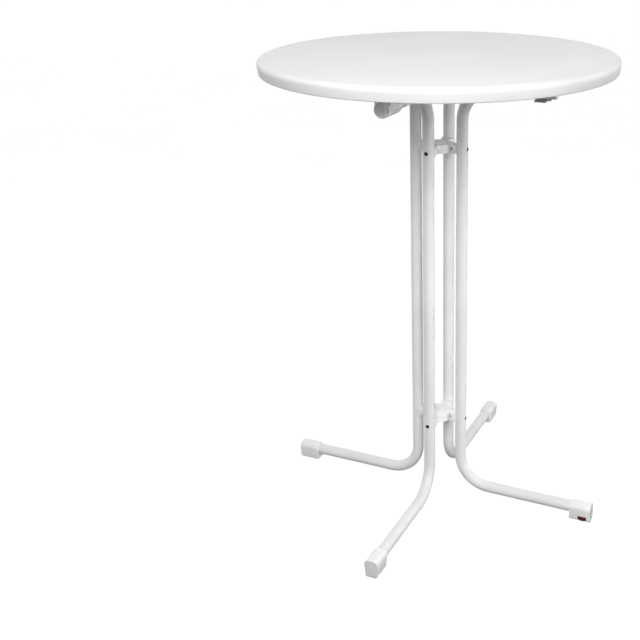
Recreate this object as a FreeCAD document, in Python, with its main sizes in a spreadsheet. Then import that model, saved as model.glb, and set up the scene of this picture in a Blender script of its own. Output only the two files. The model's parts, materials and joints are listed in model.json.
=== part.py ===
import FreeCAD, Part
import math
import os
import re
import Sketcher

# Folding standing table: a round top on four bent tubes, in millimetres.
# The origin is on the floor under the centre of the top, and +Z is up.
# +X points to the right leg, +Y to the back leg, -X to the left leg and -Y to the front leg.
# The front and back posts are the fixed frame, and their arms carry the top's hinge.
# The left and right posts are the swing frame, which scissors about the centre axis.

SIZES = [
    ("table_height", 1100, "floor to the face of the top"),
    ("top_diameter", 800, "round top across the rim"),
    ("top_thickness", 30, "top at its rim"),
    ("top_shoulder", 12, "rounding of the upper rim"),
    ("top_taper", 4, "how far the rim draws in towards the underside"),
    ("top_lower_round", 4, "rounding of the lower rim"),
    ("tube_diameter", 27, "outside of every post"),
    ("tube_wall", 1.5, "wall of every post"),
    ("fixed_post_offset", 61.5, "centre axis to the axis of the front and back posts"),
    ("swing_post_offset", 57.5, "centre axis to the axis of the left and right posts"),
    ("leg_axis_height", 27, "axis of a leg above the floor"),
    ("leg_end_offset", 360, "centre axis to the end of a leg's tube"),
    ("foot_bend", 75, "bend between post and leg, on the axis"),
    ("arm_bend", 75, "bend between post and arm, on the axis"),
    ("arm_drop", 38, "underside of the top to the axis of an arm"),
    ("hinge_arm_reach", 293, "centre axis to the end of the front and back arms"),
    ("catch_arm_reach", 272, "centre axis to the end of the right arm"),
    ("left_post_drop", 86, "underside of the top to the straight left post's upper end"),
    ("cap_length", 51.5, "foot cap along the leg"),
    ("cap_wall", 3, "foot cap round the tube"),
    ("cap_end_wall", 36.5, "foot cap past the end of the tube"),
    ("cap_sole_width", 27, "foot cap on the floor"),
    ("cap_crown_drop", 1.5, "axis of a leg to the middle of a foot cap's arch"),
    ("cap_flare", 8, "length over which a foot cap widens from the tube"),
    ("cap_lip", 2.2, "foot cap round the tube where it starts"),
    ("cap_round", 4, "rounding of a foot cap's outer end"),
    ("plug_length", 16, "plug inside a tube's end"),
    ("plug_lip", 2.5, "plug outside a tube's end"),
    ("hinge_cap_lip", 4, "end cap outside a hinge arm"),
    ("upper_joint_drop", 210, "face of the top to the middle of the upper connector"),
    ("lower_joint_height", 207, "middle of the lower connector"),
    ("joint_thickness", 20, "connector from top to bottom"),
    ("hub_radius", 30, "turning disc of a connector arm"),
    ("hub_gap", 0.3, "between the two discs of a connector"),
    ("turning_gap", 0.5, "round a disc inside the other arm"),
    ("saddle_setback", 7, "axis of a post to the tip of its connector arm"),
    ("closing_angle", 14.3, "half width of an arm on the side that folds shut"),
    ("opening_angle", 20, "half width of an arm on its other side"),
    ("recess_diameter", 28, "round recess at the middle of a connector"),
    ("recess_depth", 6, "depth of that recess"),
    ("seat_gap", 0.1, "between pieces that are fixed together"),
    ("running_gap", 0.1, "between a pin or shaft and its hole"),
    ("bolt_diameter", 8, "pivot bolt"),
    ("sleeve_diameter", 11, "sleeve round the pivot bolt"),
    ("sleeve_play", 0.2, "sleeve past the hub at each end"),
    ("washer_diameter", 24, "pivot washer"),
    ("washer_thickness", 1.6, "pivot washer"),
    ("bolt_head_diameter", 14, "pivot bolt's head"),
    ("bolt_head_height", 4.5, "pivot bolt's head"),
    ("pivot_nut_width", 13, "pivot nut across its flats"),
    ("pivot_nut_height", 4.5, "pivot nut"),
    ("bolt_overrun", 1, "pivot bolt past its nut"),
    ("pivot_cap_diameter", 32, "cap over the pivot bolt's head"),
    ("pivot_cap_height", 2.6, "that cap above its connector"),
    ("pivot_cap_wall", 1.5, "that cap's skirt in the recess"),
    ("screw_diameter", 5, "tube screw"),
    ("screw_head_diameter", 9, "tube screw's head"),
    ("screw_head_height", 0.8, "tube screw's head"),
    ("screw_overrun", 0.5, "tube screw past its nut"),
    ("nut_offset", 33.5, "centre axis to the middle of a tube screw's nut"),
    ("nut_width", 8, "tube screw's nut across its flats"),
    ("nut_thickness", 4, "tube screw's nut"),
    ("bracket_length", 58, "hinge bracket along its arm"),
    ("bracket_radius", 17.5, "round outside of a hinge bracket"),
    ("bracket_foot_width", 74, "hinge bracket's foot across its arm"),
    ("bracket_foot_thickness", 6, "hinge bracket's foot"),
    ("bracket_end_gap", 0.5, "hinge bracket to the end cap"),
    ("bush_wall", 1.6, "hinge bush"),
    ("wood_screw_diameter", 4, "screw into the underside"),
    ("wood_screw_head", 8, "head of such a screw"),
    ("wood_screw_head_height", 2.4, "head of such a screw"),
    ("wood_screw_bite", 15, "how far such a screw goes into the top"),
    ("foot_screw_pitch", 38, "bracket screws along the arm"),
    ("foot_screw_spread", 56, "bracket screws across the arm"),
    ("catch_offset", 239.5, "centre axis to the middle of the catch"),
    ("catch_width", 35, "catch along the right arm"),
    ("catch_thickness", 4.5, "catch hook behind the arm"),
    ("catch_gap", 0.6, "hook to the arm"),
    ("catch_nose_angle", 35, "hook's nose below the arm's widest line"),
    ("catch_skirt_drop", 21, "arm's axis to the lower edge of the hook"),
    ("catch_pin_rise", 17, "catch pin above the arm's axis"),
    ("catch_pin_diameter", 5, "catch pin"),
    ("catch_barrel_diameter", 13, "hook round its pin"),
    ("catch_barrel_length", 15, "hook along its pin"),
    ("catch_tab_start", 4, "arm's axis to the front of the finger tab"),
    ("catch_tab_drop", 23.5, "arm's axis to the underside of the finger tab"),
    ("catch_tab_length", 26, "finger tab along the right arm"),
    ("catch_tab_thickness", 4.5, "finger tab"),
    ("catch_ear", 6, "housing's ear along the pin"),
    ("catch_side_gap", 0.5, "hook to an ear"),
    ("catch_plate", 6, "housing's plate"),
    ("catch_plate_margin", 2, "housing's plate past an ear"),
    ("catch_plate_front", 26, "housing's plate, arm's axis to its front edge"),
    ("catch_plate_back", 42, "housing's plate, arm's axis to its back edge"),
    ("catch_screw_edge", 7, "housing's screws to the plate's edges"),
    ("rest_pad_width", 14, "pad over the right arm"),
    ("rest_pad_thickness", 2, "pad over the right arm"),
    ("rest_gap", 0.3, "pad to the arm"),
    ("spring_wire", 1.2, "catch spring's wire"),
    ("spring_pitch", 1.8, "catch spring's wire to wire"),
    ("spring_diameter", 6.9, "catch spring on the middle of its wire"),
    ("spring_turns", 4, "catch spring"),
    ("level_past_leg", 17, "levelling stud past the end of the leg's tube"),
    ("level_wheel_diameter", 34, "levelling wheel"),
    ("level_wheel_thickness", 8.8, "levelling wheel"),
    ("level_grip_diameter", 4, "finger grooves round the wheel"),
    ("level_gap", 0.6, "wheel to the foot cap"),
    ("level_window", 21, "wheel's window in the foot cap"),
    ("level_stud_diameter", 8, "levelling stud"),
    ("level_stud_top", 27, "levelling stud above the floor"),
    ("level_nut_width", 13, "levelling nut across its flats"),
    ("level_nut_height", 6.5, "levelling nut"),
    ("level_pad_diameter", 22, "floor pad"),
    ("level_pad_thickness", 1.6, "floor pad"),
    ("level_pad_rise", 0.3, "floor pad above the floor"),
    ("level_pad_floor", 1, "floor pad under the stud"),
]
GRIP_COUNT = 16

# Derived places, written with the names of the sizes.
UNDERSIDE = "(table_height - top_thickness)"
ARM_AXIS = "(table_height - top_thickness - arm_drop)"
LEFT_POST_TOP = "(table_height - top_thickness - left_post_drop)"
UPPER_JOINT = "(table_height - upper_joint_drop)"
LEVEL_OFFSET = "(leg_end_offset + level_past_leg)"
TUBE_RADIUS = "(tube_diameter / 2)"
TUBE_BORE = "(tube_diameter / 2 - tube_wall)"
HALF_JOINT = "(joint_thickness / 2)"
CAP_START = "(leg_end_offset + cap_end_wall - cap_length)"
CAP_HALF_WIDTH = "(tube_diameter / 2 + cap_wall)"
LIP_HALF_WIDTH = "(tube_diameter / 2 + cap_lip)"
WEB = "(joint_thickness / 2 - recess_depth)"
BRACKET_START = "(hinge_arm_reach - bracket_end_gap - bracket_length)"
BUSH_RADIUS = "(tube_diameter / 2 + running_gap + bush_wall)"
HOOK_INSIDE = "(tube_diameter / 2 + catch_gap)"
HOOK_OUTSIDE = "(tube_diameter / 2 + catch_gap + catch_thickness)"
PIN_Y = "(tube_diameter / 2 + catch_gap + catch_thickness / 2)"
PIN_Z = "(table_height - top_thickness - arm_drop + catch_pin_rise)"
HOOK_START = "(catch_offset - catch_width / 2)"
HOOK_END = "(catch_offset + catch_width / 2)"
PLATE_START = "(catch_offset - catch_width / 2 - catch_side_gap - catch_ear - catch_plate_margin)"
PLATE_END = "(catch_offset + catch_width / 2 + catch_side_gap + catch_ear + catch_plate_margin)"
WHEEL_BOTTOM = "(level_pad_rise + level_pad_thickness + level_gap / 2)"
WHEEL_TOP = "(level_pad_rise + level_pad_thickness + level_gap / 2 + level_wheel_thickness)"

RIGHT, BACK, LEFT, FRONT = 0, 90, 180, 270
SWING_SIDES = (RIGHT, LEFT)
FIXED_SIDES = (BACK, FRONT)
POST_OFFSET = {side: "fixed_post_offset" for side in FIXED_SIDES}
POST_OFFSET.update({side: "swing_post_offset" for side in SWING_SIDES})
LEVELS = (UPPER_JOINT, "lower_joint_height")

document = FreeCAD.newDocument("FoldingTable")
sheet = document.addObject("Spreadsheet::Sheet", "Sizes")
for row, (alias, value, meaning) in enumerate(SIZES, start=1):
    sheet.set(f"A{row}", meaning)
    sheet.set(f"B{row}", str(value))
    sheet.setAlias(f"B{row}", alias)
document.recompute()
drawn = {alias: value for alias, value, meaning in SIZES}
nodes = {}


def sized(text):
    """Turn the names of sizes in a formula into references to the sheet."""
    return re.sub(r"[a-z_]+", lambda word: f"Sizes.{word[0]}" if word[0] in drawn else word[0], text)


def bind(item, name, text):
    item.setExpression(name, sized(text))


def place(item, at, yaw="0", pitch="0", roll="0", side=RIGHT):
    """Put a solid at a place that is given for the right-hand side, turned to another side."""
    across, along, height = at
    turned = {
        RIGHT: (across, along),
        BACK: (f"-({along})", across),
        LEFT: (f"-({across})", f"-({along})"),
        FRONT: (along, f"-({across})"),
    }[side]
    spot = f"create(<<vector>>; {turned[0]}; {turned[1]}; {height})"
    turn = f"create(<<rotation>>; {yaw} + {side}; {pitch}; {roll})"
    bind(item, "Placement", f"create(<<placement>>; {spot}; {turn})")
    return item


def cylinder(radius, length, at, side=RIGHT, yaw="0", sweep="360"):
    solid = document.addObject("Part::Cylinder", "Cylinder")
    bind(solid, "Radius", radius)
    bind(solid, "Height", length)
    bind(solid, "Angle", sweep)
    return place(solid, at, yaw=yaw, side=side)


def rod(radius, length, at, side=RIGHT):
    """A cylinder that lies along X before it is turned to its side."""
    solid = document.addObject("Part::Cylinder", "Rod")
    bind(solid, "Radius", radius)
    bind(solid, "Height", length)
    return place(solid, at, pitch="90", side=side)


def block(low, high, side=RIGHT):
    solid = document.addObject("Part::Box", "Block")
    for name, start, end in zip(("Length", "Width", "Height"), low, high):
        bind(solid, name, f"({end}) - ({start})")
    return place(solid, low, side=side)


def hexagon(width, length, at, lying=False, side=RIGHT):
    """A hexagonal prism, upright or lying along X with two flats level."""
    solid = document.addObject("Part::Prism", "Hexagon")
    solid.Polygon = 6
    bind(solid, "Circumradius", f"({width}) / sqrt(3)")
    bind(solid, "Height", length)
    if lying:
        return place(solid, at, yaw="90", roll="90", side=side)
    return place(solid, at, side=side)


def fuse(*solids):
    union = document.addObject("Part::MultiFuse", "Union")
    union.Shapes = list(solids)
    union.Refine = True
    return union


def cut(base, *tools):
    result = document.addObject("Part::Cut", "Cut")
    result.Base = base
    result.Tool = tools[0] if len(tools) == 1 else fuse(*tools)
    return result


def group(solids):
    """Separate solids of one kind, kept together."""
    compound = document.addObject("Part::Compound", "Group")
    compound.Links = list(solids)
    return compound


def node(label, item):
    item.Label = label
    nodes[label] = item
    return item


def sketch_on(body, name, role, offset="0"):
    sketch = body.newObject("Sketcher::SketchObject", name)
    plane = next(item for item in body.Origin.OriginFeatures if item.Role == role)
    sketch.AttachmentSupport = [(plane, "")]
    sketch.MapMode = "FlatFace"
    bind(sketch, "AttachmentOffset.Base.z", offset)
    return sketch


def line(sketch, start, end):
    return sketch.addGeometry(Part.LineSegment(FreeCAD.Vector(*start), FreeCAD.Vector(*end)))


def arc(sketch, centre, radius, start, end):
    circle = Part.Circle(FreeCAD.Vector(*centre), FreeCAD.Vector(0, 0, 1), radius)
    return sketch.addGeometry(Part.ArcOfCircle(circle, math.radians(start), math.radians(end)))


def limit(sketch, text, kind, value, *where):
    """Add a measured constraint and let a formula drive it."""
    index = sketch.addConstraint(Sketcher.Constraint(kind, *where, value))
    bind(sketch, f"Constraints[{index}]", text)


def limit_point(sketch, geometry, end, across=None, up=None):
    """Hold a point of the drawing at its distances from the sketch's origin."""
    drawn_at = sketch.getPoint(geometry, end)
    if across:
        limit(sketch, across, "DistanceX", drawn_at.x, -1, 1, geometry, end)
    if up:
        limit(sketch, up, "DistanceY", drawn_at.y, -1, 1, geometry, end)


def relate(sketch, *relations):
    for kind, *where in relations:
        sketch.addConstraint(Sketcher.Constraint(kind, *where))


def circle_at_height(sketch, radius, height):
    """A circle on the sketch's upright axis."""
    start = FreeCAD.Vector(0, drawn["leg_axis_height"], 0)
    ring = sketch.addGeometry(Part.Circle(start, FreeCAD.Vector(0, 0, 1), drawn["tube_diameter"]))
    relate(sketch, ("PointOnObject", ring, 3, -2))
    limit_point(sketch, ring, 3, up=height)
    limit(sketch, radius, "Radius", drawn["tube_diameter"], ring)


def bent_tube(name, offset, arm_reach=None):
    """One tube: leg, bend and post, and then a bend and an arm or a straight upper end."""
    body = document.addObject("PartDesign::Body", name)
    spine = sketch_on(body, "Spine", "XZ_Plane")
    post, low, bend = drawn[offset], drawn["leg_axis_height"], drawn["foot_bend"]
    leg = line(spine, (drawn["leg_end_offset"], low, 0), (post + bend, low, 0))
    foot_bend = arc(spine, (post + bend, low + bend, 0), bend, 180, 270)
    upper_end = drawn["table_height"] - drawn["top_thickness"] - drawn["left_post_drop"]
    upright = line(spine, (post, low + bend, 0), (post, upper_end, 0))
    relate(
        spine,
        ("Tangent", leg, 2, foot_bend, 2),
        ("Tangent", foot_bend, 1, upright, 1),
        ("Horizontal", leg),
        ("Vertical", upright),
    )
    limit_point(spine, leg, 1, "leg_end_offset", "leg_axis_height")
    limit_point(spine, upright, 1, offset)
    limit(spine, "foot_bend", "Radius", bend, foot_bend)
    if arm_reach is None:
        limit_point(spine, upright, 2, up=LEFT_POST_TOP)
    else:
        turn = drawn["arm_bend"]
        arm_bend = arc(spine, (post + turn, upper_end, 0), turn, 90, 180)
        arm = line(spine, (post + turn, upper_end + turn, 0), (drawn[arm_reach], upper_end + turn, 0))
        relate(
            spine,
            ("Tangent", upright, 2, arm_bend, 2),
            ("Tangent", arm_bend, 1, arm, 1),
            ("Horizontal", arm),
        )
        limit(spine, "arm_bend", "Radius", turn, arm_bend)
        limit_point(spine, arm, 2, arm_reach, ARM_AXIS)
    profile = sketch_on(body, "Section", "YZ_Plane", "leg_end_offset")
    circle_at_height(profile, TUBE_RADIUS, "leg_axis_height")
    circle_at_height(profile, TUBE_BORE, "leg_axis_height")
    document.recompute()
    pipe = body.newObject("PartDesign::AdditivePipe", "Tube")
    pipe.Profile = profile
    pipe.Spine = (spine, [])
    return body


def post(label, side, arm_reach=None):
    """A bent tube with a hole through it at each connector, turned to its side."""
    tube = bent_tube(f"{label}_tube", POST_OFFSET[side], arm_reach)
    hole_radius = "screw_diameter / 2 + seat_gap"
    start = f"{POST_OFFSET[side]} - {TUBE_RADIUS} - seat_gap"
    length = "tube_diameter + 2 * seat_gap"
    holes = [rod(hole_radius, length, (start, "0", level)) for level in LEVELS]
    return node(label, place(cut(tube, *holes), ("0", "0", "0"), side=side))


def end_plug(radius, lip, at, side=RIGHT, upright=False):
    """A plug whose lip covers a tube's end."""
    across, along, height = at
    spigot = f"{TUBE_BORE} - seat_gap"
    if upright:
        stem = cylinder(spigot, "plug_length", (across, along, f"{height} - plug_length"), side)
        return fuse(stem, cylinder(radius, lip, at, side))
    stem = rod(spigot, "plug_length", (f"{across} - plug_length", along, height), side)
    return fuse(stem, rod(radius, lip, at, side))


def arch_section(body, name, offset, half_width):
    """The arched outline of a foot cap at one place along the leg."""
    arch = sketch_on(body, name, "YZ_Plane", offset)
    half = drawn["tube_diameter"] / 2 + drawn["cap_wall"]
    sole = drawn["cap_sole_width"] / 2
    top = drawn["leg_axis_height"] - drawn["cap_crown_drop"]
    floor = line(arch, (-sole, 0, 0), (sole, 0, 0))
    right = line(arch, (sole, 0, 0), (half, top, 0))
    crown = arc(arch, (0, top, 0), half, 0, 180)
    left = line(arch, (-half, top, 0), (-sole, 0, 0))
    relate(
        arch,
        ("Coincident", floor, 2, right, 1),
        ("Coincident", right, 2, crown, 1),
        ("Coincident", crown, 2, left, 1),
        ("Coincident", left, 2, floor, 1),
        ("Horizontal", crown, 1, crown, 3),
        ("Horizontal", crown, 2, crown, 3),
        ("PointOnObject", floor, 1, -1),
        ("Symmetric", floor, 1, floor, 2, -2),
        ("PointOnObject", crown, 3, -2),
    )
    limit(arch, half_width, "Radius", half, crown)
    limit(arch, "cap_sole_width", "Distance", 2 * sole, floor)
    limit_point(arch, crown, 3, up="leg_axis_height - cap_crown_drop")
    document.recompute()
    return arch


def foot_cap_form(name):
    """An arched cap that widens a little from the tube, flat on the floor, with a rounded outer end."""
    body = document.addObject("PartDesign::Body", name)
    lip = arch_section(body, "Lip", CAP_START, LIP_HALF_WIDTH)
    arch = arch_section(body, "Arch", f"{CAP_START} + cap_flare", CAP_HALF_WIDTH)
    flare = body.newObject("PartDesign::AdditiveLoft", "Flare")
    flare.Profile = lip
    flare.Sections = [arch]
    document.recompute()
    pad = body.newObject("PartDesign::Pad", "Cap")
    pad.Profile = arch
    bind(pad, "Length", "cap_length - cap_flare")
    document.recompute()
    cap_end = drawn["leg_end_offset"] + drawn["cap_end_wall"]
    rim = [
        f"Edge{number}"
        for number, edge in enumerate(pad.Shape.Edges, start=1)
        if edge.BoundBox.XMin > cap_end - drawn["seat_gap"] and edge.BoundBox.ZMax > drawn["seat_gap"]
    ]
    rounding = body.newObject("PartDesign::Fillet", "Rounding")
    rounding.Base = (pad, rim)
    bind(rounding, "Radius", "cap_round")
    return body


def foot_cap(label, side, *spaces):
    """A foot cap with its socket for the leg, and any further spaces."""
    depth = "cap_length - cap_end_wall + seat_gap"
    start = (f"{CAP_START} - seat_gap", "0", "leg_axis_height")
    socket = rod(f"{TUBE_RADIUS} + seat_gap", f"{depth} + seat_gap", start)
    shell = cut(foot_cap_form(f"{label}_form"), socket, *spaces)
    return node(label, place(shell, ("0", "0", "0"), side=side))


def connector_arm(label, level, sides, hub_on_top):
    """Half of a connector: a disc of half the height, and a full-height arm to each of two posts."""
    half_gap = "hub_gap / 2"
    if hub_on_top:
        hub_start, lap_start = half_gap, f"-{HALF_JOINT} - hub_gap"
        fan_start = "-closing_angle"
        recess_start = WEB
    else:
        hub_start, lap_start = f"-{HALF_JOINT}", f"-{half_gap}"
        fan_start = "-opening_angle"
        recess_start = f"-{HALF_JOINT} - hub_gap"
    lap_height = f"{HALF_JOINT} + hub_gap + {half_gap}"
    hub = cylinder("hub_radius", f"{HALF_JOINT} - {half_gap}", ("0", "0", f"{level} + {hub_start}"))
    lap = cylinder("hub_radius + turning_gap", lap_height, ("0", "0", f"{level} + {lap_start}"))
    sweep = "closing_angle + opening_angle"
    middle = ("0", "0", f"{level} - {HALF_JOINT}")
    reach = f"({POST_OFFSET[sides[0]]} - saddle_setback)"
    fans = [cylinder(reach, "joint_thickness", middle, side, fan_start, sweep) for side in sides]
    through = "2 * joint_thickness"
    below = f"{level} - joint_thickness"
    spaces = [
        cylinder("sleeve_diameter / 2 + running_gap", through, ("0", "0", below)),
        cylinder("recess_diameter / 2", "recess_depth + hub_gap", ("0", "0", f"{level} + {recess_start}")),
    ]
    half_slot = "(nut_thickness / 2 + seat_gap)"
    half_flats = "(nut_width / 2 + seat_gap)"
    nut_low = (f"nut_offset - {half_slot}", f"-{reach}", f"{level} - {half_flats}")
    nut_high = (f"nut_offset + {half_slot}", "nut_width / sqrt(3) + seat_gap", f"{level} + {half_flats}")
    screw_start = "nut_offset - nut_thickness / 2 - screw_overrun - seat_gap"
    for side in sides:
        spaces += [
            cylinder(f"{TUBE_RADIUS} + seat_gap", through, (POST_OFFSET[side], "0", below), side),
            rod("screw_diameter / 2 + seat_gap", reach, (screw_start, "0", level), side),
            block(nut_low, nut_high, side),
        ]
    return node(label, cut(fuse(hub, cut(fuse(*fans), lap)), *spaces))


def tube_screw(level, side):
    seat = f"{POST_OFFSET[side]} + {TUBE_RADIUS}"
    tip = "(nut_offset - nut_thickness / 2 - screw_overrun)"
    head = rod("screw_head_diameter / 2", "screw_head_height", (seat, "0", level), side)
    return fuse(head, rod("screw_diameter / 2", f"{seat} - {tip}", (tip, "0", level), side))


def tube_nut(level, side):
    start = ("nut_offset - nut_thickness / 2", "0", level)
    bore = rod("screw_diameter / 2 + seat_gap", "nut_thickness", start, side)
    return cut(hexagon("nut_width", "nut_thickness", start, True, side), bore)


def pivot_bolt(level):
    head_start = f"{level} + {WEB} + sleeve_play + washer_thickness"
    tip = f"({level} - {WEB} - sleeve_play - washer_thickness - pivot_nut_height - bolt_overrun)"
    shank = cylinder("bolt_diameter / 2", f"{head_start} - {tip}", ("0", "0", tip))
    return fuse(shank, cylinder("bolt_head_diameter / 2", "bolt_head_height", ("0", "0", head_start)))


def pivot_ring(radius, start, height):
    """A ring that fits round the pivot bolt."""
    bore = cylinder("bolt_diameter / 2 + seat_gap", height, ("0", "0", start))
    return cut(cylinder(radius, height, ("0", "0", start)), bore)


def pivot_washers(level):
    upper = f"{level} + {WEB} + sleeve_play"
    lower = f"{level} - {WEB} - sleeve_play - washer_thickness"
    return [pivot_ring("washer_diameter / 2", start, "washer_thickness") for start in (upper, lower)]


def pivot_nut(level):
    start = f"{level} - {WEB} - sleeve_play - washer_thickness - pivot_nut_height"
    bore = cylinder("bolt_diameter / 2 + seat_gap", "pivot_nut_height", ("0", "0", start))
    return cut(hexagon("pivot_nut_width", "pivot_nut_height", ("0", "0", start)), bore)


def pivot_cap(level):
    """A cap that closes the recess over the bolt's head, with a skirt inside the recess."""
    face = f"{level} + {HALF_JOINT} + seat_gap"
    disc = cylinder("pivot_cap_diameter / 2", "pivot_cap_height", ("0", "0", face))
    low = ("0", "0", f"{level} + {WEB} + sleeve_play + washer_thickness")
    depth = f"{HALF_JOINT} + seat_gap - {WEB} - sleeve_play - washer_thickness"
    skirt_radius = "recess_diameter / 2 - seat_gap"
    skirt = cylinder(skirt_radius, depth, low)
    hollow = cylinder(f"{skirt_radius} - pivot_cap_wall", depth, low)
    head_radius = "bolt_head_diameter / 2 + running_gap"
    head_room = cylinder(head_radius, "bolt_head_height + running_gap", low)
    return cut(fuse(skirt, disc), hollow, head_room)


def screw_spots():
    """Places of the wood screws under the top, each with the side it is given for."""
    middle = f"{BRACKET_START} + bracket_length / 2"
    for along in ("- foot_screw_pitch / 2", "+ foot_screw_pitch / 2"):
        for across in ("-foot_screw_spread / 2", "foot_screw_spread / 2"):
            for side in FIXED_SIDES:
                yield "hinge", f"{middle} {along}", across, side
    for along in (f"{PLATE_START} + catch_screw_edge", f"{PLATE_END} - catch_screw_edge"):
        for across in ("catch_screw_edge - catch_plate_front", "catch_plate_back - catch_screw_edge"):
            yield "catch", along, across, RIGHT


def wood_screw(along, across, side, plate):
    seat = f"({UNDERSIDE} - {plate})"
    shank = cylinder("wood_screw_diameter / 2", f"{plate} + wood_screw_bite", (along, across, seat), side)
    head_start = (along, across, f"{seat} - wood_screw_head_height")
    return fuse(shank, cylinder("wood_screw_head / 2", "wood_screw_head_height", head_start, side))


def screw_hole(along, across, side, start, length):
    return cylinder("wood_screw_diameter / 2 + seat_gap", length, (along, across, start), side)


def plate_holes(kind, plate):
    start = f"{UNDERSIDE} - {plate} - seat_gap"
    length = f"{plate} + 2 * seat_gap"
    spots = [spot[1:] for spot in screw_spots() if spot[0] == kind]
    return [(side, screw_hole(along, across, side, start, length)) for along, across, side in spots]


def top_board():
    """The round top: a turned profile with a soft upper shoulder and a rim that draws in below."""
    body = document.addObject("PartDesign::Body", "TopBoard")
    profile = sketch_on(body, "Profile", "XZ_Plane")
    radius, high = drawn["top_diameter"] / 2, drawn["table_height"]
    low = high - drawn["top_thickness"]
    shoulder, taper, lower = drawn["top_shoulder"], drawn["top_taper"], drawn["top_lower_round"]
    face = line(profile, (0, high, 0), (radius - shoulder, high, 0))
    upper_round = arc(profile, (radius - shoulder, high - shoulder, 0), shoulder, 0, 90)
    rim = line(profile, (radius, high - shoulder, 0), (radius - taper, low + lower, 0))
    lower_round = arc(profile, (radius - taper - lower, low + lower, 0), lower, -90, 0)
    underside = line(profile, (radius - taper - lower, low, 0), (0, low, 0))
    axis = line(profile, (0, low, 0), (0, high, 0))
    relate(
        profile,
        ("Tangent", face, 2, upper_round, 2),
        ("Coincident", upper_round, 1, rim, 1),
        ("Coincident", rim, 2, lower_round, 2),
        ("Tangent", lower_round, 1, underside, 1),
        ("Coincident", underside, 2, axis, 1),
        ("Coincident", axis, 2, face, 1),
        ("Horizontal", face),
        ("Horizontal", underside),
        ("PointOnObject", axis, 1, -2),
        ("PointOnObject", axis, 2, -2),
        ("Horizontal", upper_round, 3, upper_round, 1),
        ("Horizontal", lower_round, 3, lower_round, 2),
    )
    limit_point(profile, face, 1, up="table_height")
    limit_point(profile, axis, 1, up=UNDERSIDE)
    limit_point(profile, upper_round, 1, "top_diameter / 2")
    limit_point(profile, lower_round, 2, "top_diameter / 2 - top_taper")
    limit(profile, "top_shoulder", "Radius", shoulder, upper_round)
    limit(profile, "top_lower_round", "Radius", lower, lower_round)
    document.recompute()
    turned = body.newObject("PartDesign::Revolution", "Turned")
    turned.Profile = profile
    turned.ReferenceAxis = (profile, ["V_Axis"])
    turned.Angle = 360
    return body


def tabletop():
    pilots = [
        screw_hole(along, across, side, f"{UNDERSIDE} - seat_gap", "wood_screw_bite + 2 * seat_gap")
        for kind, along, across, side in screw_spots()
    ]
    return node("tabletop", cut(top_board(), *pilots))


def hinge_bracket(label, side):
    """A collar for the arm's bush under a web, with a foot that is screwed to the top."""
    end = f"{BRACKET_START} + bracket_length"
    foot = "bracket_foot_width / 2"
    collar = rod("bracket_radius", "bracket_length", (BRACKET_START, "0", ARM_AXIS), side)
    web = block((BRACKET_START, "-bracket_radius", ARM_AXIS), (end, "bracket_radius", UNDERSIDE), side)
    plate_low = (BRACKET_START, f"-{foot}", f"{UNDERSIDE} - bracket_foot_thickness")
    plate = block(plate_low, (end, foot, UNDERSIDE), side)
    bore_start = (f"{BRACKET_START} - seat_gap", "0", ARM_AXIS)
    bore = rod(f"{BUSH_RADIUS} + seat_gap", "bracket_length + 2 * seat_gap", bore_start, side)
    holes = [hole for at_side, hole in plate_holes("hinge", "bracket_foot_thickness") if at_side == side]
    return node(label, cut(fuse(collar, web, plate), bore, *holes))


def hinge_bush(label, side):
    start = (BRACKET_START, "0", ARM_AXIS)
    bore = rod(f"{TUBE_RADIUS} + running_gap", "bracket_length", start, side)
    return node(label, cut(rod(BUSH_RADIUS, "bracket_length", start, side), bore))


def pin_cylinder(radius, start, end):
    """A cylinder round the axis of the catch pin."""
    return rod(radius, f"({end}) - ({start})", (start, PIN_Y, PIN_Z))


def catch_hook():
    """A jaw behind the right arm, with a nose under the arm, a barrel for its pin and a finger tab.

    The arm leaves it forwards and downwards when the table folds, so nothing of it is on that side.
    """
    nose = document.addObject("Part::Cylinder", "Nose")
    bind(nose, "Radius", HOOK_OUTSIDE)
    bind(nose, "Height", "catch_width")
    bind(nose, "Angle", "catch_nose_angle")
    place(nose, (HOOK_START, "0", ARM_AXIS), yaw="90", pitch="catch_nose_angle", roll="90")
    barrel_end = f"{HOOK_START} + catch_barrel_length"
    back = block((HOOK_START, HOOK_INSIDE, f"{ARM_AXIS} - seat_gap"), (barrel_end, HOOK_OUTSIDE, PIN_Z))
    skirt_low = (HOOK_START, HOOK_INSIDE, f"{ARM_AXIS} - catch_skirt_drop")
    skirt = block(skirt_low, (HOOK_END, HOOK_OUTSIDE, ARM_AXIS))
    barrel = pin_cylinder("catch_barrel_diameter / 2", HOOK_START, barrel_end)
    tab_bottom = f"{ARM_AXIS} - catch_tab_drop"
    tab = block(
        (HOOK_START, "catch_tab_start", tab_bottom),
        (f"{HOOK_START} + catch_tab_length", HOOK_OUTSIDE, f"{tab_bottom} + catch_tab_thickness"),
    )
    before = f"{HOOK_START} - seat_gap"
    mouth = rod(HOOK_INSIDE, "catch_width + 2 * seat_gap", (before, "0", ARM_AXIS))
    bore = pin_cylinder("catch_pin_diameter / 2 + running_gap", before, f"{barrel_end} + seat_gap")
    return node("catch_hook", cut(fuse(nose, back, skirt, barrel, tab), mouth, bore))


def catch_ears():
    """Both ears of the housing, as the places where each starts and ends along the pin."""
    return (
        (f"{HOOK_START} - catch_side_gap - catch_ear", f"{HOOK_START} - catch_side_gap"),
        (f"{HOOK_END} + catch_side_gap", f"{HOOK_END} + catch_side_gap + catch_ear"),
    )


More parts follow.
